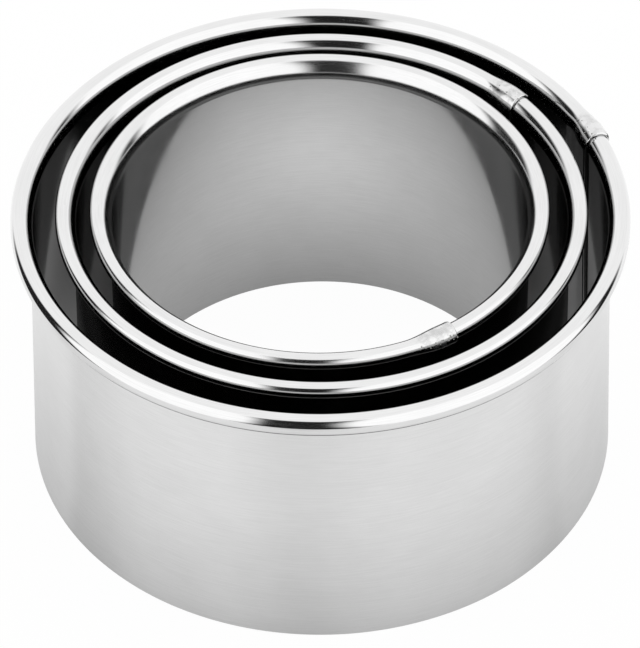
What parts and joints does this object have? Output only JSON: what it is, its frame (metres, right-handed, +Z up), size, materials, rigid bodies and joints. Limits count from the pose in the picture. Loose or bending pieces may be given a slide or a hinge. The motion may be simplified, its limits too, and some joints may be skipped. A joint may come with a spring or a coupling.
{
  "type": "biscuit cutter",
  "caption": "Nesting round biscuit cutters of polished steel sheet, open at both ends, with curled top rims; the smaller rings lift out of the larger one.",
  "frame": {"origin": "centre of the outer ring's lower edge, on the surface that the set stands on", "axes": "+Z up along the rings' axis, -Y towards the picture's camera, +X to its right"},
  "size_m": [0.08, 0.08, 0.0404],
  "materials": {
    "polished_steel": "bright polished stainless sheet with faint rolling lines",
    "weld_steel": "dull fused metal"
  },
  "bodies": {
    "outer_cutter": {"outer_ring": "polished_steel", "outer_seam_welds": "weld_steel"},
    "middle_cutter": {"middle_ring": "polished_steel", "middle_seam_welds": "weld_steel"},
    "inner_cutter": {"inner_ring": "polished_steel", "inner_seam_welds": "weld_steel"}
  },
  "joints": [
    {"name": "middle_lift", "type": "slide", "parent": "outer_cutter", "child": "middle_cutter", "axis": [0, 0, 1], "range_m": [0, 0.045]},
    {"name": "inner_lift", "type": "slide", "parent": "middle_cutter", "child": "inner_cutter", "axis": [0, 0, 1], "range_m": [0, 0.045]}
  ]
}
